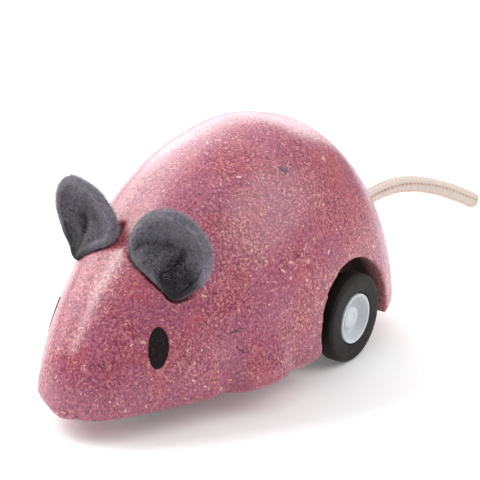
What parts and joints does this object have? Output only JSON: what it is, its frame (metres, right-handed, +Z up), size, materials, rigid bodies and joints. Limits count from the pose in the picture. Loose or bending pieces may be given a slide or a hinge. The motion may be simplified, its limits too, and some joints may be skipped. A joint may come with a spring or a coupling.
{
  "type": "pull-back toy mouse",
  "caption": "Pressed wood-fibre toy mouse with felt ears and a cord tail, driven along the floor by a pull-back spring motor on its rear axle.",
  "frame": {"origin": "on the floor under the middle of the body, measured without the tail", "axes": "+Z up, the nose points along -Y, the mouse's left side is +X; the wheel axles lie along X"},
  "size_m": [0.0564, 0.142, 0.0515],
  "materials": {
    "pressed_wood_fibre": "satin, fine pink wood-fibre chips",
    "grey_felt": "soft felt",
    "cotton_cord": "braided cotton",
    "black_rubber": "matte",
    "white_plastic": "satin",
    "bright_steel": "bright",
    "spring_steel": "blued",
    "brass": "machined",
    "natural_nylon": "moulded",
    "black_moulding": "moulded"
  },
  "bodies": {
    "chassis": {"body_shell": "pressed_wood_fibre", "ear_left": "grey_felt", "ear_right": "grey_felt", "tail_cord": "cotton_cord", "motor_case_left": "black_moulding", "motor_case_right": "black_moulding", "motor_screw_left": "bright_steel", "motor_screw_right": "bright_steel", "motor_screw_rear": "bright_steel", "middle_pin": "bright_steel", "mainspring": "spring_steel", "front_bracket": "black_moulding", "bracket_screw_front": "bright_steel", "bracket_screw_rear": "bright_steel"},
    "rear_wheels": {"rear_axle": "bright_steel", "axle_pinion": "brass", "rear_hub_left": "white_plastic", "rear_hub_right": "white_plastic", "rear_tyre_left": "black_rubber", "rear_tyre_right": "black_rubber"},
    "front_rollers": {"front_axle": "bright_steel", "front_wheel_left": "white_plastic", "front_wheel_right": "white_plastic"},
    "middle_train": {"middle_gear": "natural_nylon"},
    "spring_train": {"spring_gear": "natural_nylon", "spring_arbor": "bright_steel"}
  },
  "joints": [
    {"name": "rear_axle_spin", "type": "hinge", "parent": "chassis", "child": "rear_wheels", "pos_m": [0, 0.017, 0.01], "axis": [1, 0, 0], "continuous": true},
    {"name": "front_axle_spin", "type": "hinge", "parent": "chassis", "child": "front_rollers", "pos_m": [0, -0.027, 0.006], "axis": [1, 0, 0], "continuous": true},
    {"name": "middle_gear_spin", "type": "hinge", "parent": "chassis", "child": "middle_train", "pos_m": [0, 0.00801, 0.01438], "axis": [1, 0, 0], "continuous": true},
    {"name": "spring_gear_spin", "type": "hinge", "parent": "chassis", "child": "spring_train", "pos_m": [0, -0.00232, 0.01815], "axis": [1, 0, 0], "continuous": true}
  ],
  "couplings": [
    {"joint": "middle_gear_spin", "follows": "rear_axle_spin", "ratio": -0.42857},
    {"joint": "spring_gear_spin", "follows": "rear_axle_spin", "ratio": 0.12605}
  ]
}
